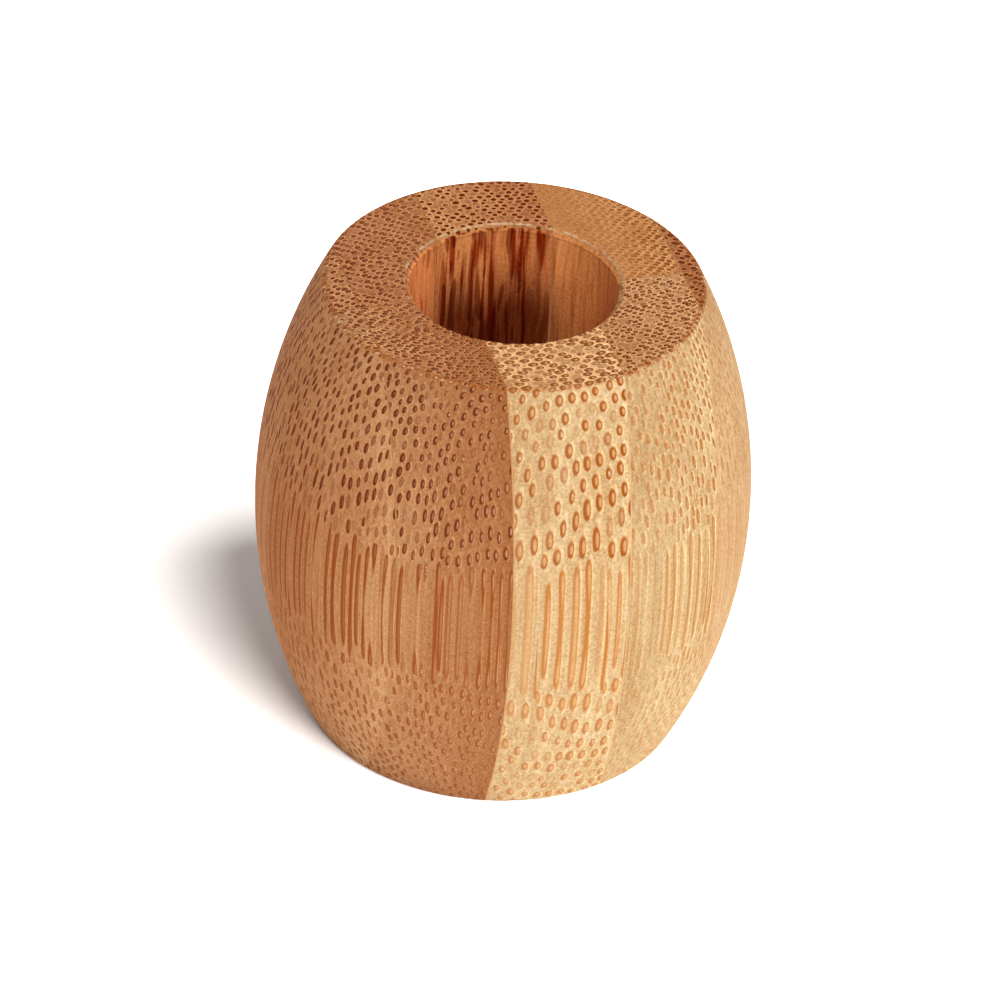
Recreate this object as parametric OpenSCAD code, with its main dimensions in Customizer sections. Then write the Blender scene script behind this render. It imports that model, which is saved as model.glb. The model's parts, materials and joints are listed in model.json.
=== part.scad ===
// Small barrel-shaped stand for one toothbrush, turned from a block of glued bamboo strips.
// Millimetres, +Z up, origin at the centre of the base, strips stacked along X, fibres along Z.

/* [Barrel] */
// Height of the barrel, base to top face
barrel_h = 30; // [26:0.5:44]
// Diameter at the widest point, half way up
belly_d = 30; // [27:0.5:40]
// Diameter of the two flat ends, measured to the sharp corner before it is rounded
end_d = 22.8; // [20:0.2:25]
// Radius that softens the corner round each flat end
edge_r = 0.4; // [0.2:0.1:0.8]

/* [Bore] */
// Diameter of the hole that the brush handle stands in
bore_d = 12.5; // [9:0.1:15]
// Bamboo left under the hole
floor_t = 5; // [3:0.5:8]
// Width of the small bevel round the mouth of the hole
mouth_bevel = 0.35; // [0.1:0.05:0.6]
// Diameter of the dimple that the drill's centre point leaves in the floor
point_d = 2.4; // [1:0.2:3]
// Depth of that dimple
point_depth = 0.8; // [0.4:0.1:1.5]

/* [Lamination] */
// Thickness of the middle strips, across the stack
middle_strip_t = 7.2; // [5.5:0.1:7.5]
// Thickness of the strips on either side of the middle ones
side_strip_t = 6.3; // [4.5:0.1:6.5]
// How far the middle of the stack sits from the turning axis
stack_shift = 0.24; // [-1:0.02:1]
// Where the joint between the front and back rows crosses, behind (+) or before (-) the axis
row_joint_y = -0.9; // [-2:0.1:2]
// Thickness of a cured glue line
glue_t = 0.08; // [0.06:0.01:0.2]

/* [Hidden] */
$fn = 128;

// Rows of the stack, seen with the front row nearest
front = 0;
back = 1;
// Places along X of the five strips in a row, and of the four glue lines between them
left_outer = 0;
left_inner = 1;
middle = 2;
right_inner = 3;
right_outer = 4;

// Planing allowance of the square block outside the turned barrel
block_spare = 1;
// One overrun for every cut that has to run clear of a face
cut_over = 1;

belly_r = belly_d / 2;
end_r = end_d / 2;
bore_r = bore_d / 2;
block_half = belly_r + block_spare;
half_h = barrel_h / 2;

// The side is one arc through both end corners and the belly
side_sag = belly_r - end_r;
side_r = (pow(half_h, 2) + pow(side_sag, 2)) / (2 * side_sag);
side_x = belly_r - side_r;
// Centre of the corner rounding, tangent to the side arc and to the flat end
edge_x = side_x + sqrt(pow(side_r - edge_r, 2) - pow(half_h - edge_r, 2));
// Height at which the corner rounding runs into the side arc
edge_z = half_h - (half_h - edge_r) * side_r / (side_r - edge_r);

// Middle planes of the glue lines, left to right
glue_planes = [
    stack_shift - middle_strip_t / 2 - side_strip_t,
    stack_shift - middle_strip_t / 2,
    stack_shift + middle_strip_t / 2,
    stack_shift + middle_strip_t / 2 + side_strip_t
];

// A strip's left and right faces, as far as the block goes at the two ends of a row
function strip_left(i) = i == left_outer ? -block_half : glue_planes[i - 1] + glue_t / 2;
function strip_right(i) = i == right_outer ? block_half : glue_planes[i] - glue_t / 2;
// A row's front and back faces
function row_front(row) = row == front ? -block_half : row_joint_y + glue_t / 2;
function row_back(row) = row == front ? row_joint_y - glue_t / 2 : block_half;

// Half section of the turned outside, with softened corners
module outside_section() {
    module side_disc() translate([side_x, half_h]) circle(r = side_r, $fn = 360);
    intersection() {
        side_disc();
        square([edge_x, barrel_h]);
    }
    intersection() {
        side_disc();
        translate([0, edge_z]) square([block_half, barrel_h - 2 * edge_z]);
    }
    for (z = [edge_r, barrel_h - edge_r]) translate([edge_x, z]) circle(r = edge_r, $fn = 48);
}

// The hole: straight wall, bevelled mouth and the drill's centre dimple
module bore() {
    translate([0, 0, floor_t]) cylinder(r = bore_r, h = barrel_h - floor_t + cut_over);
    translate([0, 0, barrel_h - mouth_bevel])
        cylinder(r1 = bore_r, r2 = bore_r + mouth_bevel + cut_over, h = mouth_bevel + cut_over);
    translate([0, 0, floor_t - point_depth]) cylinder(r1 = 0, r2 = point_d / 2, h = point_depth);
}

module turned_barrel() {
    difference() {
        rotate_extrude() outside_section();
        bore();
    }
}

// The part of the turned barrel between two planes across X and two across Y
module slice(x0, x1, y0, y1) {
    intersection() {
        turned_barrel();
        translate([x0, y0, -cut_over]) cube([x1 - x0, y1 - y0, barrel_h + 2 * cut_over]);
    }
}

module strip(row, i) slice(strip_left(i), strip_right(i), row_front(row), row_back(row));

// Glue line i of a row lies right of strip i
module strip_glue(row, i) color("peru")
    slice(strip_right(i), strip_left(i + 1), row_front(row), row_back(row));

module front_left_outer_strip() color("#B97C4B") strip(front, left_outer);
module front_left_inner_strip() color("#BD7F4C") strip(front, left_inner);
module front_middle_strip() color("#E9C496") strip(front, middle);
module front_right_inner_strip() color("#DDB07C") strip(front, right_inner);
module front_right_outer_strip() color("#D6A878") strip(front, right_outer);
module back_left_outer_strip() color("#B4774A") strip(back, left_outer);
module back_left_inner_strip() color("#BA8052") strip(back, left_inner);
module back_middle_strip() color("#C98F55") strip(back, middle);
module back_right_inner_strip() color("#D39A5C") strip(back, right_inner);
module back_right_outer_strip() color("#DDB384") strip(back, right_outer);

module front_left_outer_glue() strip_glue(front, left_outer);
module front_left_inner_glue() strip_glue(front, left_inner);
module front_right_inner_glue() strip_glue(front, middle);
module front_right_outer_glue() strip_glue(front, right_inner);
module back_left_outer_glue() strip_glue(back, left_outer);
module back_left_inner_glue() strip_glue(back, left_inner);
module back_right_inner_glue() strip_glue(back, middle);
module back_right_outer_glue() strip_glue(back, right_inner);

// The joint between the two rows, across the whole stack and round the hole
module row_glue() color("peru") slice(-block_half, block_half, row_back(front), row_front(back));

front_left_outer_strip();
front_left_inner_strip();
front_middle_strip();
front_right_inner_strip();
front_right_outer_strip();
back_left_outer_strip();
back_left_inner_strip();
back_middle_strip();
back_right_inner_strip();
back_right_outer_strip();
front_left_outer_glue();
front_left_inner_glue();
front_right_inner_glue();
front_right_outer_glue();
back_left_outer_glue();
back_left_inner_glue();
back_right_inner_glue();
back_right_outer_glue();
row_glue();
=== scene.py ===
import functools
import json
import math

import bmesh
import bpy
from mathutils import Matrix, Vector


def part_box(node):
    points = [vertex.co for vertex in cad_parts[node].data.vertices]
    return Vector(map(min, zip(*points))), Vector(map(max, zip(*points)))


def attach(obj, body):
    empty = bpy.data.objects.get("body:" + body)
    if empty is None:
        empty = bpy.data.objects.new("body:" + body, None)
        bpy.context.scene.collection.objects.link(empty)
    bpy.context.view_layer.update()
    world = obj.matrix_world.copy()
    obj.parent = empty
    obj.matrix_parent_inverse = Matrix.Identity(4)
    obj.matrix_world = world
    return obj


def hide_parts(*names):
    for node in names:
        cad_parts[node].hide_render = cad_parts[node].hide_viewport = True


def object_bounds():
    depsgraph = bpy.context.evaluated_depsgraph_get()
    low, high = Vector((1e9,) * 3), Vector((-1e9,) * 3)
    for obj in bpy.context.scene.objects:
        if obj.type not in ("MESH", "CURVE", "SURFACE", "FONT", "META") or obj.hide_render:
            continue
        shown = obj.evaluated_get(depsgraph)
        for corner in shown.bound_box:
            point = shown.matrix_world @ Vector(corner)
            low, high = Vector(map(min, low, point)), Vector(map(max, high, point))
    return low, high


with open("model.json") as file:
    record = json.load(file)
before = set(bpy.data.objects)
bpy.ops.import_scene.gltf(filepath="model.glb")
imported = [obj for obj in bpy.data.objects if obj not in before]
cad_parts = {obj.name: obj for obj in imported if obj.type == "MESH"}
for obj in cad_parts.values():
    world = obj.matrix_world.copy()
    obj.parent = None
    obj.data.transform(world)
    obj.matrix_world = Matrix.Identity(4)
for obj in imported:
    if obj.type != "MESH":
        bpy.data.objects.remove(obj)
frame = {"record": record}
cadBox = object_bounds()

mm = 0.001
print("frame loaded, box", [round(v / mm, 2) for v in cadBox[1]])


# A hex colour as it is picked on screen, turned into the linear values that Blender works in
def screenColour(hexCode):
    channels = [int(hexCode[i:i + 2], 16) / 255 for i in (1, 3, 5)]
    linear = [c / 12.92 if c <= 0.04045 else ((c + 0.055) / 1.055) ** 2.4 for c in channels]
    return (*linear, 1.0)


# Plain words for the nodes that come up often, each with its settings
nodeWords = {
    "plus": ("ShaderNodeMath", {"operation": "ADD"}),
    "minus": ("ShaderNodeMath", {"operation": "SUBTRACT"}),
    "times": ("ShaderNodeMath", {"operation": "MULTIPLY"}),
    "over": ("ShaderNodeMath", {"operation": "DIVIDE"}),
    "timesPlus": ("ShaderNodeMath", {"operation": "MULTIPLY_ADD"}),
    "root": ("ShaderNodeMath", {"operation": "SQRT"}),
    "floor": ("ShaderNodeMath", {"operation": "FLOOR"}),
    "round": ("ShaderNodeMath", {"operation": "ROUND"}),
    "absolute": ("ShaderNodeMath", {"operation": "ABSOLUTE"}),
    "smaller": ("ShaderNodeMath", {"operation": "MINIMUM"}),
    "larger": ("ShaderNodeMath", {"operation": "MAXIMUM"}),
    "isBelow": ("ShaderNodeMath", {"operation": "LESS_THAN"}),
    "cosine": ("ShaderNodeMath", {"operation": "COSINE"}),
    "sine": ("ShaderNodeMath", {"operation": "SINE"}),
    "vectorPlus": ("ShaderNodeVectorMath", {"operation": "ADD"}),
    "vectorMinus": ("ShaderNodeVectorMath", {"operation": "SUBTRACT"}),
    "vectorTimes": ("ShaderNodeVectorMath", {"operation": "MULTIPLY"}),
    "vectorTimesPlus": ("ShaderNodeVectorMath", {"operation": "MULTIPLY_ADD"}),
    "vectorSmaller": ("ShaderNodeVectorMath", {"operation": "MINIMUM"}),
    "scaled": ("ShaderNodeVectorMath", {"operation": "SCALE"}),
    "length": ("ShaderNodeVectorMath", {"operation": "LENGTH"}),
    "split": ("ShaderNodeSeparateXYZ", {}),
    "join": ("ShaderNodeCombineXYZ", {}),
    "noise": ("ShaderNodeTexNoise", {}),
    "chance": ("ShaderNodeTexWhiteNoise", {}),
    "ramp": ("ShaderNodeMapRange", {"interpolation_type": "SMOOTHSTEP"}),
    "range": ("ShaderNodeMapRange", {}),
    "mixNumbers": ("ShaderNodeMix", {"data_type": "FLOAT"}),
    "mixColours": ("ShaderNodeMix", {"data_type": "RGBA"}),
    "tint": ("ShaderNodeMix", {"data_type": "RGBA", "blend_type": "MULTIPLY"}),
}


# Adds a node: its settings by name, its inputs in order or by name, each a value, a socket or a node
def addNode(tree, kind, inputs=(), **settings):
    kind, usual = nodeWords.get(kind, (kind, {}))
    node = tree.nodes.new(kind)
    for name, value in {**usual, **settings}.items():
        setattr(node, name, value)
    if isinstance(inputs, dict):
        pairs = [(node.inputs[name], value) for name, value in inputs.items()]
    else:
        pairs = list(zip([s for s in node.inputs if s.enabled], inputs))
    for socket, value in pairs:
        if isinstance(value, bpy.types.Node):
            value = next(s for s in value.outputs if s.enabled)
        if isinstance(value, bpy.types.NodeSocket):
            tree.links.new(value, socket)
        elif value is not None:
            socket.default_value = value
    return node


# Starts a material with an empty node tree, and a short way to add nodes to it
def startMaterial(name):
    material = bpy.data.materials.new(name)
    material.use_nodes = True
    material.node_tree.nodes.clear()
    return material, functools.partial(addNode, material.node_tree)


# Camera: stands where the photographer stood, worked out from the outline of the barrel
camera = {
    "azimuth": -16.67,  # degrees round from straight in front, to the left
    "elevation": 34.5,  # degrees above the table
    "roll": 3.1,  # degrees, so that the barrel leans to the right
    "distance": 513.9 * mm,
    "lens": 305.5,  # millimetres, as the sensor
    "sensor": 36,
    "clip": (0.05, 10),
    "aimHeight": 14.28 * mm,
    "aimSide": -0.15 * mm,
}


def placeCamera():
    turn = math.radians(camera["azimuth"])
    climb = math.radians(camera["elevation"])
    back = Vector((math.sin(turn) * math.cos(climb), -math.cos(turn) * math.cos(climb), math.sin(climb)))
    side = Vector((math.cos(turn), math.sin(turn), 0))
    data = bpy.data.cameras.new("camera")
    data.lens = camera["lens"]
    data.sensor_width = camera["sensor"]
    data.clip_start, data.clip_end = camera["clip"]
    body = bpy.data.objects.new("camera", data)
    bpy.context.scene.collection.objects.link(body)
    aim = side * camera["aimSide"] + Vector((0, 0, camera["aimHeight"]))
    rolled = Matrix.Rotation(math.radians(camera["roll"]), 4, "Z")
    facing = (-back).to_track_quat("-Z", "Y").to_matrix().to_4x4()
    body.matrix_world = Matrix.Translation(aim + back * camera["distance"]) @ facing @ rolled
    bpy.context.scene.camera = body


placeCamera()
print("camera placed")


# Studio: a soft key from the front right, an even pale room, and a pale table with its own softer key, so
# that it is white and still keeps the barrel's shadow
studio = {
    "keyFrom": (20, 55),  # degrees round from the camera to the right, and above the table
    "keyDistance": 0.6,  # metres, as the sizes
    "keySize": 0.14,
    "keyPower": 1.86,  # watts
    "tableKeyFrom": (50, 40),
    "tableKeySize": 0.81,
    "tableKeyPower": 26.0,
    "roomStrength": 0.31,
    "tableBounce": "#AAB1B6",  # what the table throws back on the barrel under that strong key
    "shadowTone": "#FFFAF6",  # shadows on the table are a little warm
    "tableShadowShare": 0.93,  # how much of the table's look is light and shadow, the rest is plain white
    "tableSize": 1.6,
}


def addLamp(name, direction, size, power, litThings):
    turn = math.radians(camera["azimuth"] + direction[0])
    climb = math.radians(direction[1])
    back = Vector((math.sin(turn) * math.cos(climb), -math.cos(turn) * math.cos(climb), math.sin(climb)))
    data = bpy.data.lights.new(name, "AREA")
    data.shape = "DISK"
    data.size = size
    data.energy = power
    lamp = bpy.data.objects.new(name, data)
    bpy.context.scene.collection.objects.link(lamp)
    lamp.location = back * studio["keyDistance"]
    lamp.rotation_euler = (-back).to_track_quat("-Z", "Y").to_euler()
    lamp.light_linking.receiver_collection = litThings


# 1 for what the camera sees straight, in gloss or through glass, 0 for the light that falls on things
def seenDirectly(add):
    path = add("ShaderNodeLightPath").outputs
    gloss = add("larger", [path["Is Glossy Ray"], path["Is Transmission Ray"]])
    return add("larger", [path["Is Camera Ray"], gloss])


def buildStudio():
    world = bpy.data.worlds.new("room")
    bpy.context.scene.world = world
    world.use_nodes = True
    world.node_tree.nodes.clear()
    add = functools.partial(addNode, world.node_tree)
    roomLight = add("ShaderNodeBackground", [(1, 1, 1, 1), studio["roomStrength"]])
    roomSeen = add("ShaderNodeBackground", [(1, 1, 1, 1), 1.0])
    room = add("ShaderNodeMixShader", [seenDirectly(add), roomLight, roomSeen])
    add("ShaderNodeOutputWorld", {"Surface": room})

    # Painted board, matt white: seen straight it is white with the barrel's soft shadow on it
    board, add = startMaterial("matt white painted board")
    bounce = add("ShaderNodeBsdfDiffuse", {"Color": screenColour(studio["tableBounce"])})
    share = studio["tableShadowShare"]
    tone = [c * share for c in screenColour(studio["shadowTone"])[:3]]
    shaded = add("ShaderNodeBsdfDiffuse", {"Color": (*tone, 1)})
    glow = add("ShaderNodeEmission", {"Color": (1, 1, 1, 1), "Strength": 1 - share})
    seen = add("ShaderNodeAddShader", [shaded, glow])
    both = add("ShaderNodeMixShader", [seenDirectly(add), bounce, seen])
    add("ShaderNodeOutputMaterial", {"Surface": both})

    half = studio["tableSize"] / 2
    corners = [(-half, -half, 0), (half, -half, 0), (half, half, 0), (-half, half, 0)]
    sheet = bpy.data.meshes.new("table")
    sheet.from_pydata(corners, [], [(0, 1, 2, 3)])
    sheet.materials.append(board)
    table = bpy.data.objects.new("table", sheet)
    bpy.context.scene.collection.objects.link(table)
    tableOnly = bpy.data.collections.new("table only")
    tableOnly.objects.link(table)
    barrelOnly = bpy.data.collections.new("barrel only")
    addLamp("key", studio["keyFrom"], studio["keySize"], studio["keyPower"], barrelOnly)
    addLamp("table key", studio["tableKeyFrom"], studio["tableKeySize"], studio["tableKeyPower"], tableOnly)
    bpy.context.scene.view_settings.view_transform = "Standard"
    return barrelOnly


barrelOnly = buildStudio()
print("studio built")


# Barrel: what the lathe and the drill leave, with the sizes that the frame gives
boreMount = next(m for m in frame["record"]["mounts"] if m["name"] == "bore")
boreHalf = boreMount["dims"]["length_mm"] / 2 * mm
barrel = {
    "height": cadBox[1].z,
    "bellyRadius": cadBox[1].x,
    "endRadius": 11.4 * mm,  # to the sharp corner, before it is rounded
    "cornerRadius": 0.4 * mm,
    "boreRadius": boreMount["dims"]["r_mm"] * mm,
    "boreFloor": boreMount["pos_m"][2] - boreHalf,
    "boreTop": boreMount["pos_m"][2] + boreHalf,
    "dimpleRadius": 1.2 * mm,
    "dimpleDepth": 0.8 * mm,
    "sideStep": 0.12 * mm,  # rows of the mesh on the side and the ends
    "hiddenStep": 0.25 * mm,  # rows under the base and down the bore
    "columns": 784,
    "weld": 0.0001 * mm,  # points closer than this are one
    "sawSnap": 0.00001 * mm,  # points this close to a saw cut lie on it
    "sharpFrom": 38,  # degrees, edges with a sharper turn than this stay crisp
}


# Points along a straight stretch of the half section, its first point left out
def straight(start, end, step):
    count = max(1, round(math.dist(start, end) / step))
    return [tuple(a + (b - a) * i / count for a, b in zip(start, end)) for i in range(1, count + 1)]


# Points along an arc of the half section, its first point left out
def bend(centre, radius, fromAngle, toAngle, step):
    count = max(4, round(abs(toAngle - fromAngle) * radius / step))
    angles = [fromAngle + (toAngle - fromAngle) * i / count for i in range(1, count + 1)]
    return [(centre[0] + radius * math.cos(a), centre[1] + radius * math.sin(a)) for a in angles]


# The half section of the barrel as (radius, height), from the middle of the base round to the dimple
def halfSection():
    b = barrel
    middle = b["height"] / 2
    sag = b["bellyRadius"] - b["endRadius"]
    sideRadius = (middle ** 2 + sag ** 2) / (2 * sag)
    sideCentre = b["bellyRadius"] - sideRadius
    corner = b["cornerRadius"]
    cornerCentre = sideCentre + math.sqrt((sideRadius - corner) ** 2 - (middle - corner) ** 2)
    slope = math.asin((middle - corner) / (sideRadius - corner))
    fine = b["sideStep"]
    coarse = b["hiddenStep"]
    top = b["height"]
    mouth = b["boreRadius"] + top - b["boreTop"]
    points = [(0, 0)]
    points += straight(points[-1], (cornerCentre, 0), coarse)
    points += bend((cornerCentre, corner), corner, -math.pi / 2, -slope, fine / 2)
    points += bend((sideCentre, middle), sideRadius, -slope, slope, fine)
    points += bend((cornerCentre, top - corner), corner, slope, math.pi / 2, fine / 2)
    points += straight(points[-1], (mouth, top), fine)
    points += straight(points[-1], (b["boreRadius"], b["boreTop"]), fine / 2)
    points += straight(points[-1], (b["boreRadius"], b["boreFloor"]), coarse)
    points += straight(points[-1], (b["dimpleRadius"], b["boreFloor"]), coarse)
    points += straight(points[-1], (0, b["boreFloor"] - b["dimpleDepth"]), coarse)
    return points


# Starts a Geometry Nodes tree with named inputs, each (name, socket type, value)
def startTree(name, inputs):
    tree = bpy.data.node_groups.new(name, "GeometryNodeTree")
    tree.interface.new_socket("Geometry", in_out="INPUT", socket_type="NodeSocketGeometry")
    for title, kind, value in inputs:
        socket = tree.interface.new_socket(title, in_out="INPUT", socket_type=kind)
        if value is not None:
            socket.default_value = value
    tree.interface.new_socket("Geometry", in_out="OUTPUT", socket_type="NodeSocketGeometry")
    return tree, addNode(tree, "NodeGroupInput").outputs


# Ends the tree as the export needs it: nothing instanced, and a material on everything
def endTree(tree, geometry, material):
    real = addNode(tree, "GeometryNodeRealizeInstances", [geometry])
    painted = addNode(tree, "GeometryNodeSetMaterial", {"Geometry": real, "Material": material})
    addNode(tree, "NodeGroupOutput", [painted])


# Puts the tree on an object with these inputs, and gives back the finished plain mesh
def runTree(tree, thing, values):
    modifier = thing.modifiers.new(tree.name, "NODES")
    modifier.node_group = tree
    for item in tree.interface.items_tree:
        if item.in_out == "INPUT" and item.name in values:
            modifier[item.identifier] = values[item.name]
    graph = bpy.context.evaluated_depsgraph_get()
    graph.update()
    made = bpy.data.meshes.new_from_object(thing.evaluated_get(graph))
    thing.modifiers.remove(modifier)
    return made


# The lathe: sweeps the half section round the Z axis in a number of columns
def latheTree():
    tree, given = startTree("lathe", [
        ("Columns", "NodeSocketInt", 64),
        ("Material", "NodeSocketMaterial", None),
    ])
    add = functools.partial(addNode, tree)
    rows = add("GeometryNodeAttributeDomainSize", [given["Geometry"]]).outputs["Point Count"]
    grid = add("GeometryNodeMeshGrid", [1, 1, add("plus", [given["Columns"], 1]), rows])
    spot = add("split", [add("GeometryNodeInputPosition")]).outputs
    turn = add("times", [add("plus", [spot["X"], 0.5]), math.tau])
    row = add("round", [add("times", [add("plus", [spot["Y"], 0.5]), add("minus", [rows, 1])])])
    point = add("GeometryNodeSampleIndex", [given["Geometry"], add("GeometryNodeInputPosition"), row],
                data_type="FLOAT_VECTOR")
    section = add("split", [point]).outputs
    x = add("times", [section["X"], add("cosine", [turn])])
    y = add("times", [section["X"], add("sine", [turn])])
    swept = add("GeometryNodeSetPosition", {"Geometry": grid, "Position": add("join", [x, y, section["Z"]])})
    joined = add("GeometryNodeMergeByDistance", {"Geometry": swept, "Distance": barrel["weld"]})
    endTree(tree, add("GeometryNodeSetShadeSmooth", [joined]), given["Material"])
    return tree


def turnBarrel():
    points = halfSection()
    wire = bpy.data.meshes.new("half section")
    wire.from_pydata([(r, 0, z) for r, z in points], [(i, i + 1) for i in range(len(points) - 1)], [])
    blank = bpy.data.objects.new("blank", wire)
    bpy.context.scene.collection.objects.link(blank)
    turned = runTree(latheTree(), blank, {"Columns": barrel["columns"]})
    bpy.data.objects.remove(blank)
    return turned


# Bamboo culm, in millimetres. Bundles of fibres run straight up the barrel. They stand in staggered rows, and
# on the outer side of a strip they are closer than on its pith side. A pair called edge runs from nothing to
# the whole, here and further down.
culm = {
    "wallThickness": 6.8,  # from the pith side to the outer side
    "waverLength": 2.6,  # the rows lie unevenly over about this length
    "lean": 0.16,  # how far a fibre strays sideways as it climbs
    "leanLength": 14.0,  # over about this height
    "bellyEdge": (6.2, 2.6),  # height over or under the belly where streaks take over from dots
    "bellySkin": (8.0, 9.0),  # and only this far out from the axis, so not in the bore
    "bellyFlat": 0.78,  # how much of its arc the turner left out there
    "rowDepth": 0.03,  # how deep under the belly the row lies that shows as streaks
    "swingEdge": (13.4, 12.0),  # at the far left and right no row swings into line for that
    "bellyStray": 0.28,  # streaks lie more unevenly than dots, so they differ in length
    "bundleSizes": (0.82, 1.17),  # smallest and largest bundle, as shares of the strip's usual one
    "bundleEdge": (1.15, 0.8),  # in half widths of the bundle, as the next two
    "highlightShift": (0.12, 0.37),  # painted highlight: how far right of its middle the pale vessels are drawn, at least and at most
    "vesselReach": (0.5, 0.62),  # how far they reach in its length and in its width
    "vesselEdge": (1.05, 0.6),
}


# Where a point lies in its bundle of fibres. The same sums serve the colour and the relief, so pits and dots
# fall together. p holds the strip's own sockets, and place is the point in millimetres.
def bundlePattern(tree, place, p):
    add = functools.partial(addNode, tree)

    # The belly was turned a touch straighter than an arc, so there a cut runs along the fibres for a long way
    spot = add("split", [place]).outputs
    radius = add("length", [add("vectorTimes", [place, (1, 1, 0)])]).outputs["Value"]
    middle = barrel["height"] / 2 / mm
    sag = (barrel["bellyRadius"] - barrel["endRadius"]) / mm
    arcRadius = (middle ** 2 + sag ** 2) / (2 * sag)
    fromBelly = add("absolute", [add("minus", [spot["Z"], middle])])
    drop = add("over", [add("times", [fromBelly, fromBelly]), 2 * arcRadius])
    belly = add("times", [add("ramp", [fromBelly, *culm["bellyEdge"]]),
                          add("ramp", [radius, *culm["bellySkin"]])])
    drop = add("times", [drop, add("times", [belly, culm["bellyFlat"]])])
    stretch = add("plus", [add("over", [drop, radius]), 1.0])
    place = add("vectorTimes", [place, add("join", [stretch, stretch, 1.0])])
    flatSpot = add("split", [place]).outputs

    # Rows lie a little unevenly, and fibres lean a little as they climb
    flat = 1 / culm["waverLength"]
    climb = 1 / culm["leanLength"]
    strayed = place
    strays = (((flat, flat, 0), p["Waver"], 0.0), ((flat, flat, climb), culm["lean"], 5.0))
    for scale, amount, seed in strays:
        moved = add("vectorTimesPlus", [place, scale, add("join", [p["Seed"], seed, 0.0])])
        noise = add("noise", {"Vector": moved, "Scale": 1.0, "Detail": 0.0})
        offset = add("vectorMinus", [noise.outputs["Color"], (0.5, 0.5, 0.5)])
        strayed = add("vectorPlus", [strayed, add("scaled", {"Vector": offset, "Scale": amount})])
    spot = add("split", [strayed]).outputs

    # Rows cross the strip on a slant and with a bow, one after the other along Y. At the belly the nearest
    # one swings into line with the barrel, so that a row is cut lengthwise all the way round
    depth = add("times", [add("minus", [spot["X"], p["Pith Face"]]), p["Outward"]])
    fromMiddle = add("minus", [spot["X"], p["Middle"]])
    slant = add("timesPlus", [fromMiddle, p["Bow"], p["Slant"]])
    rows = add("minus", [add("minus", [spot["Y"], p["Row Start"]]), add("times", [fromMiddle, slant])])
    rows = add("plus", [add("over", [rows, p["Row Pitch"]]), 0.5])
    bellyRow = barrel["bellyRadius"] / mm - culm["rowDepth"]
    curve = add("timesPlus", [flatSpot["X"], add("times", [flatSpot["X"], -1.0]), bellyRow ** 2])
    curve = add("root", [add("larger", [curve, 1.0])])
    side = add("over", [p["Row Start"], add("absolute", [p["Row Start"]])])
    level = add("over", [add("minus", [flatSpot["Y"], add("times", [curve, side])]), p["Row Pitch"]])
    swing = add("minus", [add("plus", [level, 0.5]), rows])
    swing = add("minus", [swing, add("round", [swing])])
    swing = add("times", [swing, add("ramp", [add("absolute", [spot["X"]]), *culm["swingEdge"]])])
    rows = add("timesPlus", [swing, belly, rows])
    row = add("floor", [rows])
    across = add("times", [add("minus", [add("minus", [rows, row]), 0.5]), p["Row Pitch"]])

    # Bundles of a row close up steadily towards the outer side, and each row is staggered against the next.
    # The 0.3 keeps each draw off a whole number, where a rounding error could change it.
    crowd = add("minus", [add("over", [p["Pitch Pith"], p["Pitch Outer"]]), 1.0])
    crowd = add("over", [crowd, 2 * culm["wallThickness"]])
    rowPlace = add("plus", [row, 0.3])
    rowChance = add("chance", {"Vector": add("join", [rowPlace, 7.0, p["Seed"]])}).outputs["Value"]
    stagger = add("timesPlus", [rowChance, p["Stray"], add("times", [row, 0.5])])
    steps = add("timesPlus", [add("times", [depth, depth]), crowd, depth])
    steps = add("plus", [add("over", [steps, p["Pitch Pith"]]), stagger])
    bundle = add("floor", [steps])
    pitch = add("timesPlus", [add("times", [crowd, 2.0]), depth, 1.0])
    pitch = add("over", [p["Pitch Pith"], pitch])
    along = add("times", [add("minus", [add("minus", [steps, bundle]), 0.5]), pitch])

    # Each bundle is a rounded lens in line with its row, a little out of its place and of its own size
    cell = add("join", [rowPlace, add("plus", [bundle, 0.3]), p["Seed"]])
    chance = add("chance", {"Vector": cell})
    chances = add("split", [chance.outputs["Color"]]).outputs
    nudge = add("times", [add("minus", [chances["X"], 0.5]), p["Stray"]])
    along = add("timesPlus", [nudge, pitch, along])
    loose = add("timesPlus", [belly, culm["bellyStray"], p["Stray"]])
    nudge = add("times", [add("minus", [chances["Y"], 0.5]), loose])
    across = add("timesPlus", [nudge, p["Row Pitch"], across])
    rowSlope = add("timesPlus", [fromMiddle, add("times", [p["Bow"], 2.0]), p["Slant"]])
    tilt = add("over", [1.0, add("root", [add("timesPlus", [rowSlope, rowSlope, 1.0])])])
    wide = add("times", [across, tilt])
    rightward = add("times", [along, p["Outward"]])
    long = add("timesPlus", [rowSlope, wide, add("over", [rightward, tilt])])
    smallest, largest = culm["bundleSizes"]
    size = add("timesPlus", [chances["Z"], largest - smallest, smallest])
    long = add("over", [long, add("times", [p["Bundle Length"], add("times", [size, 0.5])])])
    wide = add("over", [wide, add("times", [p["Bundle Width"], add("times", [size, 0.5])])])
    fromMiddle = add("length", [add("join", [long, wide, 0.0])]).outputs["Value"]
    inside = add("ramp", [fromMiddle, *culm["bundleEdge"]])
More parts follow.
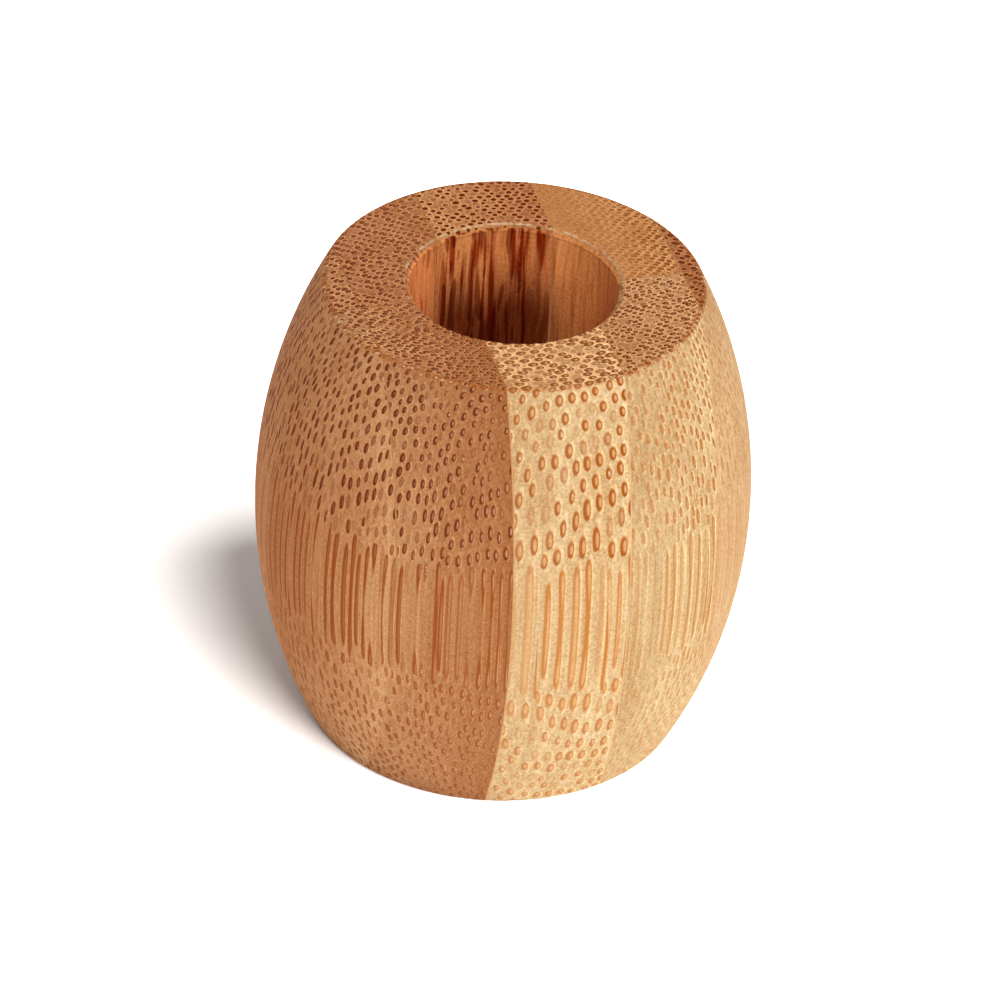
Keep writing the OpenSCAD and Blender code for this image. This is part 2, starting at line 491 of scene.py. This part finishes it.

    # The vessels in the middle are open and pale, and are drawn a little to the right as a painted highlight
    # where the light falls
    least, most = culm["highlightShift"]
    fromVessels = add("minus", [long, add("timesPlus", [chances["X"], most - least, least])])
    reachAlong, reachAcross = culm["vesselReach"]
    vesselsAndHighlight = add("join", [add("over", [fromVessels, reachAlong]), add("over", [wide, reachAcross]), 0.0])
    vesselsAndHighlight = add("ramp", [add("length", [vesselsAndHighlight]).outputs["Value"], *culm["vesselEdge"]])
    outerShare = add("ShaderNodeClamp", [add("over", [depth, culm["wallThickness"]])])
    return {"inside": inside.outputs[0], "vesselsAndHighlight": vesselsAndHighlight.outputs[0], "outerShare": outerShare.outputs[0],
            "chance": chance.outputs["Value"], "otherChance": chances["Z"], "fromMiddle": fromMiddle,
            "rightward": long.outputs[0], "strayed": strayed.outputs[0]}


patternInputs = ["Pith Face", "Outward", "Middle", "Slant", "Bow", "Row Start", "Row Pitch", "Pitch Pith",
                 "Pitch Outer", "Bundle Length", "Bundle Width", "Waver", "Stray", "Seed"]


# Sanding cuts the soft bundle ends back a little, which leaves a shallow pit or groove at each bundle
pits = {
    "glueEdge": (0.02, 0.2),  # they come in over this distance from a glued face, in millimetres
}


def sandingTree():
    tree, given = startTree("sanded bundles", [(title, "NodeSocketFloat", 1.0) for title in patternInputs] + [
        ("Depth", "NodeSocketFloat", 0.03),
        ("Low Corner", "NodeSocketVector", None),
        ("High Corner", "NodeSocketVector", None),
        ("Material", "NodeSocketMaterial", None),
    ])
    add = functools.partial(addNode, tree)
    place = add("vectorTimes", [add("GeometryNodeInputPosition"), (1 / mm,) * 3])
    pattern = bundlePattern(tree, place, given)
    fromLow = add("vectorMinus", [place, given["Low Corner"]])
    fromHigh = add("vectorMinus", [given["High Corner"], place])
    gaps = add("split", [add("vectorSmaller", [fromLow, fromHigh])]).outputs
    free = add("ramp", [add("smaller", [gaps["X"], gaps["Y"]]), *pits["glueEdge"]])
    sink = add("times", [add("times", [pattern["inside"], free]), given["Depth"]])
    sink = add("times", [sink, -mm])
    move = add("scaled", {"Vector": add("GeometryNodeInputNormal"), "Scale": sink})
    sunk = add("GeometryNodeSetPosition", {"Geometry": given["Geometry"], "Offset": move})
    endTree(tree, sunk, given["Material"])
    return tree


# The fibre pattern as a shader group, so that every bamboo material reads the same sums
def grainGroup():
    tree = bpy.data.node_groups.new("bamboo bundles", "ShaderNodeTree")
    tree.interface.new_socket("Place", in_out="INPUT", socket_type="NodeSocketVector")
    for title in patternInputs:
        tree.interface.new_socket(title, in_out="INPUT", socket_type="NodeSocketFloat").default_value = 1.0
    given = addNode(tree, "NodeGroupInput").outputs
    pattern = bundlePattern(tree, given["Place"], given)
    for title in pattern:
        kind = "NodeSocketVector" if title == "strayed" else "NodeSocketFloat"
        tree.interface.new_socket(title, in_out="OUTPUT", socket_type=kind)
    addNode(tree, "NodeGroupOutput", list(pattern.values()))
    return tree


# The ten strips, sizes in millimetres. outward is the side where the culm's outer wall lay: 1 right, -1 left.
# Pairs are for the pith side and the outer side: pitch between bundles, ground colour, how open and pale the
# middle of a bundle is (ring, in the colour core), and how strongly bundles show on the side and on the flat
# ends (end). dot colours bundles cut across, and streak bundles cut along. Rows lie at a distance of row and
# cross the strip at turn degrees, with a bow per millimetre and unevenly by waver. stray is how far a bundle
# stands out of its place, as a share of the distance to the next. bundle is its length and width, relief the
# depth of its pit, and halo how strong the painted highlight right of it is. endLook tints the ground on the
# flat ends and colours the bundles there.
strips = {
    "front_left_outer_strip": {
        "outward": -1, "turn": -44, "bow": 0.04, "waver": 0.6, "stray": 0.38, "seed": 3,
        "pitch": (0.60, 0.51), "row": 0.28, "bundle": (0.28, 0.19), "ring": (0.15, 0.05), "relief": 0.012,
        "ground": ("#CA976A", "#B16E40"), "dot": "#702A0D", "streak": "#984716", "core": "#D9A070",
        "haloHighlight": 0.10, "side": (1.00, 1.00), "end": (0.95, 0.95),
        "endLook": ("#EAEFF4", "#6E3014")},
    "front_left_inner_strip": {
        "outward": -1, "turn": -22, "bow": 0.04, "waver": 0.6, "stray": 0.40, "seed": 11,
        "pitch": (0.61, 0.52), "row": 0.28, "bundle": (0.30, 0.19), "ring": (0.55, 0.05), "relief": 0.015,
        "ground": ("#A56D43", "#BE8B60"), "dot": "#6E280C", "streak": "#984716", "core": "#E6B487",
        "haloHighlight": 0.35, "side": (0.88, 1.00), "end": (0.85, 0.92),
        "endLook": ("#FFFFFF", "#66280F")},
    "front_middle_strip": {
        "outward": 1, "turn": 7, "bow": 0.034, "waver": 0.26, "stray": 0.28, "seed": 5,
        "pitch": (0.92, 0.74), "row": 0.40, "bundle": (0.46, 0.30), "ring": (0.54, 0.46), "relief": 0.025,
        "ground": ("#D0B184", "#D6BA8D"), "dot": "#A65210", "streak": "#C07028", "core": "#E6A868",
        "haloHighlight": 0.32, "side": (0.82, 1.00), "end": (0.85, 0.92),
        "endLook": ("#FFF0E8", "#8A4010")},
    "front_right_inner_strip": {
        "outward": 1, "turn": 18, "bow": 0.03, "waver": 0.4, "stray": 0.40, "seed": 21,
        "pitch": (0.66, 0.44), "row": 0.28, "bundle": (0.28, 0.19), "ring": (0.20, 0.30), "relief": 0.012,
        "ground": ("#C8A87B", "#D9BD8F"), "dot": "#AC5A18", "streak": "#BC7838", "core": "#E9B77E",
        "haloHighlight": 0.55, "side": (0.50, 1.00), "end": (1.00, 1.00),
        "endLook": ("#EFD8D0", "#7E3A14")},
    "front_right_outer_strip": {
        "outward": 1, "turn": 36, "bow": 0.02, "waver": 0.4, "stray": 0.40, "seed": 8,
        "pitch": (0.62, 0.56), "row": 0.29, "bundle": (0.30, 0.20), "ring": (0.0, 0.0), "relief": 0.008,
        "ground": ("#D7B182", "#D6AD7C"), "dot": "#A05A28", "streak": "#C48652", "core": "#DCA76C",
        "haloHighlight": 0.20, "side": (0.38, 0.38), "end": (1.00, 1.00),
        "endLook": ("#C6A494", "#74340F")},
    "back_left_outer_strip": {
        "outward": -1, "turn": 44, "bow": -0.04, "waver": 0.5, "stray": 0.30, "seed": 31,
        "pitch": (0.64, 0.56), "row": 0.29, "bundle": (0.28, 0.19), "ring": (0.10, 0.10), "relief": 0.012,
        "ground": ("#C68E62", "#BF8052"), "dot": "#702A0D", "streak": "#9A5528", "core": "#D9A070",
        "haloHighlight": 0.15, "side": (1.00, 1.00), "end": (0.95, 0.95),
        "endLook": ("#EAEFF4", "#6E3014")},
    "back_left_inner_strip": {
        "outward": -1, "turn": 22, "bow": -0.04, "waver": 0.5, "stray": 0.30, "seed": 14,
        "pitch": (0.66, 0.58), "row": 0.30, "bundle": (0.29, 0.20), "ring": (0.20, 0.10), "relief": 0.012,
        "ground": ("#C68E60", "#C68E64"), "dot": "#702C0E", "streak": "#9A5528", "core": "#DDAA7C",
        "haloHighlight": 0.20, "side": (0.75, 0.90), "end": (0.80, 0.95),
        "endLook": ("#E8E2E2", "#66280E")},
    "back_middle_strip": {
        "outward": 1, "turn": 0, "bow": -0.03, "waver": 0.35, "stray": 0.22, "seed": 17,
        "pitch": (0.66, 0.52), "row": 0.36, "bundle": (0.26, 0.21), "ring": (0.0, 0.0), "relief": 0.015,
        "ground": ("#D4A06C", "#C08456"), "dot": "#5A2408", "streak": "#8A3E14", "core": "#8A4A20",
        "haloHighlight": 0.20, "side": (0.90, 0.95), "end": (1.00, 1.00),
        "endLook": ("#E9E5EA", "#6E300F")},
    "back_right_inner_strip": {
        "outward": 1, "turn": -20, "bow": -0.03, "waver": 0.4, "stray": 0.24, "seed": 26,
        "pitch": (0.62, 0.46), "row": 0.30, "bundle": (0.27, 0.20), "ring": (0.0, 0.0), "relief": 0.008,
        "ground": ("#DAA26C", "#D8A370"), "dot": "#65220A", "streak": "#A4602F", "core": "#C48350",
        "haloHighlight": 0.20, "side": (0.10, 0.85), "end": (0.08, 1.00),
        "endLook": ("#EAE1D6", "#743A18")},
    "back_right_outer_strip": {
        "outward": 1, "turn": -36, "bow": -0.02, "waver": 0.4, "stray": 0.35, "seed": 40,
        "pitch": (0.66, 0.60), "row": 0.34, "bundle": (0.32, 0.23), "ring": (0.0, 0.0), "relief": 0.015,
        "ground": ("#DAB284", "#D2A678"), "dot": "#5E1E04", "streak": "#9A5527", "core": "#A8622F",
        "haloHighlight": 0.30, "side": (0.85, 0.90), "end": (0.95, 0.90),
        "endLook": ("#C6A494", "#6E2C0C")},
}


# How often a pattern comes along X, Y and Z in a millimetre, from its size across the fibres and along them
def often(across, along):
    return (1 / across, 1 / across, 1 / along)


# Where a point of the surface lies, in millimetres, and how far it faces up
def surfacePoint(add):
    where = add("ShaderNodeTexCoord").outputs
    place = add("vectorTimes", [where["Object"], (1 / mm,) * 3])
    spot = add("split", [place]).outputs
    radius = add("length", [add("vectorTimes", [place, (1, 1, 0)])]).outputs["Value"]
    facing = add("split", [where["Normal"]]).outputs["Z"]
    return {"place": place, "x": spot["X"], "z": spot["Z"], "radius": radius, "facing": facing}


# The cut wood, the same on every strip. Patterns have their size in millimetres, across the fibres and along
# them, and their edges are levels of the noise, here and further down.
cutWood = {
    "cloudSize": (2.0, 16.667),  # slow changes of tone
    "lineSize": (0.2, 8.333),  # fine fibre lines
    "cellSize": 1 / 6,  # cut cells, drawn about three times as coarse as they are, so that they show
    "cloudShare": 0.35,
    "lineShare": 0.45,
    "cellShare": 0.9,
    "toneRange": (0.60, 1.10),  # from the darkest to the palest tone that they make together
    "grainShade": "#CFAE90",  # the deepest of the cut cells, more orange as well as darker
    "grainLight": 1.22,  # and how bright the highest of them are
    "endEdge": (0.5, 0.95),  # a flat end is where fibres are cut this squarely, 1 is squarely
    "endLight": 1.15,  # painted light: the flat ends are drawn this much brighter, as torn cell ends catch the light
    "endSpread": 0.38,  # torn bundle ends look larger than the bundles, by this share, in the bore too
    "sheathEdge": (1.12, 0.82),  # in half widths of the bundle, as the next one
    "haloEdge": (1.9, 1.2),
    "highlightSide": (-0.4, 1.0),  # painted highlight: on the side it lies only right of a bundle, in its half lengths
    "endHalo": 0.78,  # on the ends the tissue is paler all round, partly as painted highlight, by this share
    "cutShow": (0.80, 0.95, 1.0),  # how strongly bundles show below, at and above the belly
    "belowFacing": (-0.25, 0.0),
    "aboveFacing": (0.02, 0.25),
    "thinChance": (0.01, 0.46),  # some bundles are so thin that they show less, from
    "thinShow": 0.35,  # this share up
    "dotFacing": (0.08, 0.2),  # bundles turn from their streak's colour to their dot's
    "lowDotFacing": (-0.12, -0.3),  # and further down by
    "lowDotShare": 0.5,
    "vesselShow": 0.85,
    "dustGlintShare": 0.06,  # share of bundles with a pale fleck in their vessels: sanding dust and a painted glint
    "dustGlintEdge": (0.5, 0.62),
    "dustGlintShow": 0.8,
    "dustGlintColour": "#F4D8B6",
    "toothDepth": 0.03,  # of the cut cells, in millimetres
    "toothStrength": 0.35,
    "bundleSink": 0.5,  # bundle ends lie this share of it lower
    "roughness": 0.8,
    "gloss": 0.05,  # bare sanded wood has hardly any
}


# Ground tissue: slow changes of tone up the fibres, fine fibre lines, and a grain of cut cells
def tissueColour(add, at, bundle, look, paint):
    clouds = add("vectorTimes", [bundle["strayed"], often(*cutWood["cloudSize"])])
    clouds = add("noise", {"Vector": clouds, "Scale": 1.0})
    lines = add("vectorTimes", [bundle["strayed"], often(*cutWood["lineSize"])])
    lines = add("noise", {"Vector": lines, "Scale": 1.0})
    cells = add("noise", {"Vector": at["place"], "Scale": 1 / cutWood["cellSize"], "Detail": 2.0,
                          "Roughness": 0.7})
    tone = add("timesPlus", [lines, cutWood["lineShare"], add("times", [clouds, cutWood["cloudShare"]])])
    tone = add("timesPlus", [cells, cutWood["cellShare"], tone])
    shade = add("range", [tone, *cutWood["toneRange"]])
    shade = add("mixColours", [shade, paint["grainShade"], (1, 1, 1, 1)])
    ground = add("mixColours", [bundle["outerShare"], *[screenColour(code) for code in look["ground"]]])
    colour = add("scaled", {"Vector": add("vectorTimes", [ground, shade]), "Scale": cutWood["grainLight"]})
    # Painted light: the flat ends are drawn brighter
    light = add("mixNumbers", [at["endGrain"], 1.0, cutWood["endLight"]])
    colour = add("scaled", {"Vector": colour, "Scale": light})
    colour = add("tint", [at["endGrain"], colour, screenColour(look["endLook"][0])])
    return colour, clouds, cells


# The bundles on that tissue: a pale halo and painted highlight, the dark sheath, the paler vessels in its
# middle placed as a painted highlight, and pale flecks of sanding dust with painted glints
def bundleColour(add, at, bundle, look, paint, colour, cells):
    outer, endGrain, inBore, facing = bundle["outerShare"], at["endGrain"], at["inBore"], at["facing"]
    spread = add("timesPlus", [add("larger", [endGrain, inBore]), cutWood["endSpread"], 1.0])
    fromMiddle = add("over", [bundle["fromMiddle"], spread])
    inside = add("ramp", [fromMiddle, *cutWood["sheathEdge"]])

    # How strongly this bundle shows here
    below, level, above = cutWood["cutShow"]
    byFacing = add("smaller", [add("ramp", [facing, *cutWood["aboveFacing"], level, above]),
                             add("ramp", [facing, *cutWood["belowFacing"], below, 1.0])])
    onSide = add("times", [add("mixNumbers", [outer, *look["side"]]), byFacing])
    strength = add("mixNumbers", [endGrain, onSide, add("mixNumbers", [outer, *look["end"]])])
    thick = add("ramp", [bundle["chance"], *cutWood["thinChance"], cutWood["thinShow"], 1.0])
    strength = add("times", [strength, thick])

    # Painted highlight: the tissue right of a bundle on the side, and all round it on the ends, is drawn
    # paler
    haloHighlight = add("ramp", [bundle["rightward"], *cutWood["highlightSide"], 0.0, look["haloHighlight"]])
    haloHighlight = add("mixNumbers", [endGrain, haloHighlight, cutWood["endHalo"]])
    haloHighlight = add("times", [add("ramp", [fromMiddle, *cutWood["haloEdge"]]), haloHighlight])
    haloHighlight = add("times", [add("times", [haloHighlight, strength]), add("minus", [1.0, inBore])])
    colour = add("scaled", {"Vector": colour, "Scale": add("plus", [haloHighlight, 1.0])})

    crossCut = add("ramp", [facing, *cutWood["lowDotFacing"], 0.0, cutWood["lowDotShare"]])
    crossCut = add("larger", [add("ramp", [facing, *cutWood["dotFacing"]]), crossCut])
    sheath = add("mixColours", [crossCut, paint["streak"], paint["dot"]])
    sheath = add("mixColours", [endGrain, sheath, screenColour(look["endLook"][1])])
    sheath = add("mixColours", [inBore, sheath, paint["boreDot"]])
    stretches = add("vectorTimes", [at["place"], often(*boreWall["stretchSize"])])
    stretches = add("ramp", [add("noise", {"Vector": stretches, "Scale": 1.0}), *boreWall["stretchEdge"]])
    # The pale vessels, partly a painted highlight right of the bundle's middle
    vesselsAndHighlight = add("times", [bundle["vesselsAndHighlight"], add("mixNumbers", [outer, *look["ring"]])])
    sheathShare = add("times", [add("times", [inside, strength]), add("minus", [1.0, vesselsAndHighlight])])
    sheathShare = add("times", [sheathShare, add("mixNumbers", [inBore, 1.0, stretches])])
    colour = add("mixColours", [sheathShare, colour, sheath])
    hollow = add("times", [add("times", [vesselsAndHighlight, strength]), cutWood["vesselShow"]])
    colour = add("mixColours", [hollow, colour, paint["core"]])

    # Pale flecks in a few bundles: sanding dust, and painted glints where vessels would catch the light
    flecked = add("isBelow", [bundle["otherChance"], cutWood["dustGlintShare"]])
    fleck = add("ramp", [cells, *cutWood["dustGlintEdge"], 0.0, cutWood["dustGlintShow"]])
    dustAndGlint = add("times", [add("times", [bundle["vesselsAndHighlight"], flecked]), fleck])
    colour = add("mixColours", [add("times", [dustAndGlint, strength]), colour, paint["dustGlintColour"]])
    return colour, inside


# The wall of the bore, drilled and never sanded, sizes in millimetres
boreWall = {
    "wallEdge": (0.20, 0.12),  # how far round the bore the drill's marks reach
    "depthEdge": (0.1, 0.25),  # and how far below the flat end they begin
    "tornSize": (1.667, 4.545),  # the drill dragged the fibres about, over this size
    "tornReach": 0.45,  # and this far
    "stretchSize": (0.769, 2.857),  # bundles show in stretches on it
    "stretchEdge": (0.26, 0.42),
    "boreDot": "#88421E",
    "freshAndLit": (1.25, 1.62),  # paler by this much at the mouth and below it: fresh drilled wood, brightened further as painted light
    "freshDepth": (0.35, 0.6),
    "leftLight": 1.50,  # painted light on the left wall, which faces the light: by this much more
    "leftX": (-2.0, -5.0),
    "boreWarmth": "#FFF1DE",  # light that comes back from wall to wall is redder
    "backMiddle": 0.6,  # the back of the wall along X, which takes the burnt streaks and the painted shade
    "backEdge": (5.2, 2.4),
    "burnAndShadeElsewhere": 0.10,
    "burnSize": (0.357, 6.25),
    "burnEdge": (0.48, 0.64),
    "boreBurn": "#AE5E34",  # burnt streaks
    "shadeDepth": (-0.5, 4.8),  # painted shade: the back is drawn darker and darker down to here
    "shadeWaver": 4.0,
    # colour of the painted shade down the back of the bore
    "boreShade": "#846456",
}


# The bore: fresh drilled wood brightened as painted light, most on the left wall, painted reflected light
# between the walls, burnt streaks at the back, and painted shade deepening down the back wall
def drilledColour(add, at, paint, colour, clouds):
    height = barrel["height"] / mm
    inBore = at["inBore"]
    shallow, deep = boreWall["freshDepth"]
    # Painted light: the wall is drawn brighter below the mouth, and brighter still on the left wall
    freshAndLit = add("ramp", [at["z"], height - shallow, height - deep, *boreWall["freshAndLit"]])
    freshAndLit = add("times", [freshAndLit, add("ramp", [at["x"], *boreWall["leftX"], 1.0, boreWall["leftLight"]])])
    colour = add("scaled", {"Vector": colour, "Scale": add("mixNumbers", [inBore, 1.0, freshAndLit])})
    colour = add("tint", [inBore, colour, paint["boreWarmth"]])

    # The back of the wall takes the burnt streaks and the painted shade
    fromBack = add("absolute", [add("minus", [at["x"], boreWall["backMiddle"]])])
    backBurnAndShade = add("ramp", [fromBack, *boreWall["backEdge"], boreWall["burnAndShadeElsewhere"], 1.0])
    burn = add("vectorTimes", [at["place"], often(*boreWall["burnSize"])])
    burn = add("noise", {"Vector": burn, "Scale": 1.0, "Detail": 1.0})
    burn = add("times", [add("times", [inBore, backBurnAndShade]), add("ramp", [burn, *boreWall["burnEdge"]])])
    colour = add("tint", [burn, colour, paint["boreBurn"]])

    # Painted shade: darker and darker down the back of the bore
    start, full = boreWall["shadeDepth"]
    level = add("timesPlus", [clouds, boreWall["shadeWaver"], at["z"]])
    depthShade = add("times", [inBore, add("ramp", [level, height - start, height - full, 0.0, 1.0])])
    return add("tint", [add("times", [depthShade, backBurnAndShade]), colour, paint["boreShade"]])


# Edges: a ragged painted highlight on the bevel round the mouth, and corners rubbed by the sanding belt.
# Sizes are in millimetres, and those of the corner are from the sharp corner inwards and downwards.
edges = {
    "raggedSize": 0.4545,  # both are worn unevenly over this size
    "mouthReach": 0.12,  # how far outside the bore's wall the highlight ends
    "mouthWaver": 0.5,
    "mouthDepth": (0.12, 0.05),  # and how far below the flat end
    "mouthShow": 0.88,
    "patchSize": 0.909,  # the highlight is weaker in patches
    "patchEdge": (0.40, 0.53),
    "patchShow": 0.5,
    # colour of the painted highlight on the mouth's bevel
    "mouthHighlight": "#F3CFA3",
    "rimInwards": (0.30, 0.22),
    "rimDownwards": (0.20, 0.12),
    "rimPatches": (0.35, 0.6),
    "rimShow": (0.1, 0.65),
    "rimColour": "#B0622A",
    "fleckSize": 0.3226,  # chips in the corner
    "fleckEdge": (0.6, 0.68),
    "fleckShow": 0.8,
    "rimFleck": "#F2CFA4",
}


def edgeColour(add, at, paint, colour):
    height = barrel["height"] / mm
    boreRadius = barrel["boreRadius"] / mm
    ragged = add("noise", {"Vector": at["place"], "Scale": 1 / edges["raggedSize"], "Detail": 3.0})
    # Painted highlight: a thin ragged pale line on the bevel round the mouth
    outward = add("timesPlus", [ragged, -edges["mouthWaver"], at["radius"]])
    mouth = add("ramp", [outward, boreRadius + edges["mouthReach"], boreRadius])
    low, high = edges["mouthDepth"]
    onBevel = add("ramp", [at["z"], height - low, height - high, 0.0, edges["mouthShow"]])
    mouth = add("times", [mouth, onBevel])
    patches = add("noise", {"Vector": at["place"], "Scale": 1 / edges["patchSize"]})
    patches = add("ramp", [patches, *edges["patchEdge"], edges["patchShow"], 1.0])
    colour = add("mixColours", [add("times", [mouth, patches]), colour, paint["mouthHighlight"]])

    corner = [barrel["endRadius"] / mm - reach for reach in edges["rimInwards"]]
    depths = [height / 2 - depth for depth in edges["rimDownwards"]]
    fromLevel = add("absolute", [add("minus", [at["z"], height / 2])])
    rim = add("times", [add("ramp", [at["radius"], *corner]), add("ramp", [fromLevel, *depths])])
    rubbed = add("times", [rim, add("ramp", [ragged, *edges["rimPatches"], *edges["rimShow"]])])
    colour = add("mixColours", [rubbed, colour, paint["rimColour"]])
    chips = add("noise", {"Vector": at["place"], "Scale": 1 / edges["fleckSize"]})
    chips = add("times", [rim, add("ramp", [chips, *edges["fleckEdge"], 0.0, edges["fleckShow"]])])
    return add("mixColours", [chips, colour, paint["rimFleck"]])


# Laminated bamboo, steamed, planed, turned and sanded, without lacquer: dull pale tissue full of dark bundle
# ends where the cut goes across the fibres, and long fine streaks where it runs along them
def bambooMaterial(name, grain, look, values):
    material, add = startMaterial("turned bamboo " + name.replace("_", " "))
    codes = {**look, **cutWood, **boreWall, **edges}
    paint = {title: screenColour(code) for title, code in codes.items() if str(code).startswith("#")}
    at = surfacePoint(add)
    at["endGrain"] = add("ramp", [add("absolute", [at["facing"]]), *cutWood["endEdge"]])
    wall = [barrel["boreRadius"] / mm + reach for reach in boreWall["wallEdge"]]
    depths = [barrel["height"] / mm - depth for depth in boreWall["depthEdge"]]
    at["inBore"] = add("times", [add("ramp", [at["radius"], *wall]), add("ramp", [at["z"], *depths])])

    # In the bore the pattern is dragged about
    torn = add("vectorTimes", [at["place"], often(*boreWall["tornSize"])])
    torn = add("noise", {"Vector": torn, "Scale": 1.0, "Detail": 1.0})
    torn = add("vectorMinus", [torn.outputs["Color"], (0.5, 0.5, 0.5)])
    reach = add("times", [at["inBore"], 2 * boreWall["tornReach"]])
    torn = add("scaled", {"Vector": torn, "Scale": reach})
    torn = add("vectorPlus", [at["place"], torn])
    bundle = add("ShaderNodeGroup", {"Place": torn, **values}, node_tree=grain).outputs

    colour, clouds, cells = tissueColour(add, at, bundle, look, paint)
    colour, inside = bundleColour(add, at, bundle, look, paint, colour, cells)
    colour = drilledColour(add, at, paint, colour, clouds)
    colour = edgeColour(add, at, paint, colour)

    # Sanding leaves the cut cells as a fine tooth, and bundle ends a hair lower than the ground
    tooth = add("ShaderNodeBump", {
        "Strength": cutWood["toothStrength"], "Distance": cutWood["toothDepth"] * mm,
        "Height": add("timesPlus", [inside, -cutWood["bundleSink"], cells])})
    surface = add("ShaderNodeBsdfPrincipled", {
        "Base Color": colour, "Roughness": cutWood["roughness"], "IOR": 1.5,
        "Specular IOR Level": cutWood["gloss"], "Normal": tooth})
    add("ShaderNodeOutputMaterial", {"Surface": surface})
    return material


# Cured urea glue, pressed to a clear film and sanded with the wood: it takes the tone of the wood on either
# side and is nearly as dull
glueLook = {
    "leftColour": "#C0824F",
    "rightColour": "#DDAE79",
    "turnX": (-3.6, -3.0),  # where the wood turns from brown to pale, in millimetres
    "endTint": "#F3DAC0",  # on the flat ends and in the bore
    "endEdge": (0.5, 0.95),
    "boreReach": 0.1,
    "cloudSize": 2 / 3,
    "cloudRange": (0.3, 0.7),
    "cloudLight": (0.85, 1.08),
    "roughness": 0.7,
    "gloss": 0.04,
}


def glueMaterial():
    material, add = startMaterial("cured urea glue line")
    at = surfacePoint(add)
    rightward = add("range", [at["x"], *glueLook["turnX"]])
    sides = [screenColour(glueLook[side]) for side in ("leftColour", "rightColour")]
    clouds = add("noise", {"Vector": at["place"], "Scale": 1 / glueLook["cloudSize"], "Detail": 2.0})
    light = add("range", [clouds, *glueLook["cloudRange"], *glueLook["cloudLight"]])
    colour = add("scaled", {"Vector": add("mixColours", [rightward, *sides]), "Scale": light})
    onEnd = add("range", [at["facing"], *glueLook["endEdge"]])
    inBore = add("isBelow", [at["radius"], barrel["boreRadius"] / mm + glueLook["boreReach"]])
    colour = add("tint", [add("larger", [onEnd, inBore]), colour, screenColour(glueLook["endTint"])])
    surface = add("ShaderNodeBsdfPrincipled", {
        "Base Color": colour, "Roughness": glueLook["roughness"], "IOR": 1.5,
        "Specular IOR Level": glueLook["gloss"]})
    add("ShaderNodeOutputMaterial", {"Surface": surface})
    return material


# Saws a solid along a plane square to an axis, keeps one side and closes the cut
def sawn(solid, axis, height, keep):
    part = solid.copy()
    place = Vector((0, 0, 0))
    facing = Vector((0, 0, 0))
    place[axis] = height
    facing[axis] = keep
    everything = part.verts[:] + part.edges[:] + part.faces[:]
    cut = bmesh.ops.bisect_plane(part, geom=everything, dist=barrel["sawSnap"], plane_co=place,
                                 plane_no=facing, clear_inner=True)
    border = [e for e in cut["geom_cut"] if isinstance(e, bmesh.types.BMEdge)]
    bmesh.ops.holes_fill(part, edges=border, sides=0)
    return part


# Saws the turned barrel into its strips and glue films, each between the planes that its CAD node gives
def sawBarrel(turned):
    whole = bmesh.new()
    whole.from_mesh(turned)
    made = {}
    low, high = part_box("row_glue")
    beyond = sawn(whole, 1, low.y, 1)
    made["row_glue"] = sawn(beyond, 1, high.y, -1)
    front = sawn(whole, 1, low.y, -1)
    back = sawn(beyond, 1, high.y, 1)
    for solid in (whole, beyond):
        solid.free()
    for row, rest in (("front", front), ("back", back)):
        # From left to right, each film with the strip on its left
        for side, strip in (("left_outer", "left_outer"), ("left_inner", "left_inner"),
                            ("right_inner", "middle"), ("right_outer", "right_inner")):
            low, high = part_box(f"{row}_{side}_glue")
            made[f"{row}_{strip}_strip"] = sawn(rest, 0, low.x, -1)
            beyond = sawn(rest, 0, low.x, 1)
            made[f"{row}_{side}_glue"] = sawn(beyond, 0, high.x, -1)
            rest.free()
            rest = sawn(beyond, 0, high.x, 1)
            beyond.free()
        made[f"{row}_right_outer_strip"] = rest
    return made


def finishPiece(name, mesh, material):
    mesh.name = name
    mesh.materials.clear()
    mesh.materials.append(material)
    mesh.polygons.foreach_set("use_smooth", [True] * len(mesh.polygons))
    mesh.set_sharp_from_angle(angle=math.radians(barrel["sharpFrom"]))
    piece = bpy.data.objects.new(name + "_wood" if "strip" in name else name + "_film", mesh)
    bpy.context.scene.collection.objects.link(piece)
    barrelOnly.objects.link(piece)
    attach(piece, "root")
    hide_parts(name)


def buildPieces():
    made = sawBarrel(turnBarrel())
    print("barrel turned and sawn into", len(made), "pieces")
    sanding = sandingTree()
    grain = grainGroup()
    glue = glueMaterial()
    for name in sorted(made):
        mesh = bpy.data.meshes.new(name)
        made[name].to_mesh(mesh)
        made[name].free()
        if name in strips:
            look = strips[name]
            low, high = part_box(name)
            middle = (low.x + high.x) / 2
            turn = math.radians(look["turn"])
            # One row starts on the belly
            onBelly = math.sqrt(barrel["bellyRadius"] ** 2 - middle ** 2)
            values = {
                "Pith Face": (low.x if look["outward"] > 0 else high.x) / mm,
                "Outward": float(look["outward"]),
                "Middle": middle / mm,
                "Slant": math.tan(turn),
                "Bow": look["bow"],
                "Row Start": math.copysign(onBelly / mm - culm["rowDepth"], low.y + high.y),
                "Row Pitch": look["row"] / math.cos(turn),
                "Pitch Pith": look["pitch"][0] * math.cos(turn),
                "Pitch Outer": look["pitch"][1] * math.cos(turn),
                "Bundle Length": look["bundle"][0],
                "Bundle Width": look["bundle"][1],
                "Waver": look["waver"],
                "Stray": look["stray"],
                "Seed": float(look["seed"]),
            }
            material = bambooMaterial(name, grain, look, values)
            rough = bpy.data.objects.new("rough", mesh)
            bpy.context.scene.collection.objects.link(rough)
            mesh = runTree(sanding, rough, {
                **values, "Depth": look["relief"], "Low Corner": [c / mm for c in low],
                "High Corner": [c / mm for c in high], "Material": material})
            bpy.data.objects.remove(rough)
        else:
            material = glue
        finishPiece(name, mesh, material)
        print(name, len(mesh.polygons), "faces")


buildPieces()
